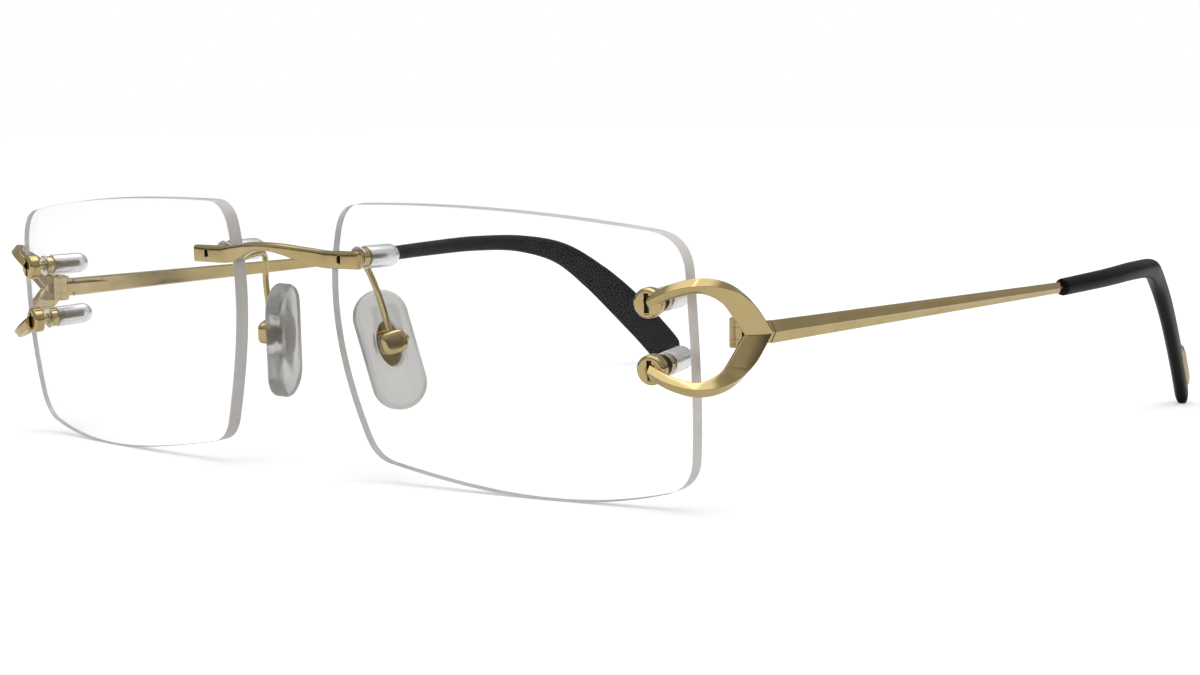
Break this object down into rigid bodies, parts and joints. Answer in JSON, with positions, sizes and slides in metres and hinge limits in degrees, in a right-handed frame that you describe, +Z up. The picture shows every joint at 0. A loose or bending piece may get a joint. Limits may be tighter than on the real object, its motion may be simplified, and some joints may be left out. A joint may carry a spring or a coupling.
{
  "type": "rimless eyeglasses",
  "caption": "Rimless eyeglasses with drilled clear lenses, a slim gold bridge, two-armed end pieces, folding tapered temples, dark curved tips and rocking frosted nose pads.",
  "frame": {"origin": "middle of the bottom of the bounding box: on the surface the glasses stand on, midway between the sides and midway from the bridge to the temple tips", "axes": "+Z up, -Y the way the wearer looks, +X to the wearer's left"},
  "size_m": [0.1406, 0.147, 0.0366],
  "materials": {
    "gold_metal": "polished pale gold plating",
    "inlay_metal": "satin gold plating",
    "lens_glass": "clear, polished edge",
    "clear_plastic": "clear",
    "frosted_plastic": "frosted translucent",
    "black_acetate": "satin black"
  },
  "bodies": {
    "front": {"bridge": "gold_metal", "left_lens": "lens_glass", "left_nasal_stud": "gold_metal", "left_nasal_washer": "clear_plastic", "left_nasal_nut": "gold_metal", "left_nasal_cap": "clear_plastic", "left_upper_stud": "gold_metal", "left_upper_washer": "clear_plastic", "left_upper_nut": "gold_metal", "left_upper_cap": "clear_plastic", "left_lower_stud": "gold_metal", "left_lower_washer": "clear_plastic", "left_lower_nut": "gold_metal", "left_lower_cap": "clear_plastic", "left_end_piece": "gold_metal", "left_hinge_block": "gold_metal", "left_hinge_screw": "gold_metal", "left_pad_wire": "gold_metal", "left_pad_box": "gold_metal", "left_pad_screw": "gold_metal", "right_lens": "lens_glass", "right_nasal_stud": "gold_metal", "right_nasal_washer": "clear_plastic", "right_nasal_nut": "gold_metal", "right_nasal_cap": "clear_plastic", "right_upper_stud": "gold_metal", "right_upper_washer": "clear_plastic", "right_upper_nut": "gold_metal", "right_upper_cap": "clear_plastic", "right_lower_stud": "gold_metal", "right_lower_washer": "clear_plastic", "right_lower_nut": "gold_metal", "right_lower_cap": "clear_plastic", "right_end_piece": "gold_metal", "right_hinge_block": "gold_metal", "right_hinge_screw": "gold_metal", "right_pad_wire": "gold_metal", "right_pad_box": "gold_metal", "right_pad_screw": "gold_metal"},
    "left_temple": {"left_temple_knuckle": "gold_metal", "left_temple_bar": "gold_metal", "left_temple_core_wire": "gold_metal", "left_temple_tip": "black_acetate", "left_tip_inlay": "inlay_metal"},
    "left_pad": {"left_pad_core": "gold_metal", "left_nose_pad": "frosted_plastic"},
    "right_temple": {"right_temple_knuckle": "gold_metal", "right_temple_bar": "gold_metal", "right_temple_core_wire": "gold_metal", "right_temple_tip": "black_acetate", "right_tip_inlay": "inlay_metal"},
    "right_pad": {"right_pad_core": "gold_metal", "right_nose_pad": "frosted_plastic"}
  },
  "joints": [
    {"name": "left_temple_hinge", "type": "hinge", "parent": "front", "child": "left_temple", "pos_m": [0.06675, -0.05576, 0.02136], "axis": [0, 0, 1], "range_deg": [0, 85]},
    {"name": "right_temple_hinge", "type": "hinge", "parent": "front", "child": "right_temple", "pos_m": [-0.06675, -0.05576, 0.02136], "axis": [0, 0, -1], "range_deg": [0, 76]},
    {"name": "left_pad_rock", "type": "hinge", "parent": "front", "child": "left_pad", "pos_m": [0.01275, -0.06116, 0.01781], "axis": [0.3904, 0.8884, 0.2416], "range_deg": [-12, 4]},
    {"name": "right_pad_rock", "type": "hinge", "parent": "front", "child": "right_pad", "pos_m": [-0.01275, -0.06116, 0.01781], "axis": [0.3904, -0.8884, -0.2416], "range_deg": [-12, 4]}
  ]
}
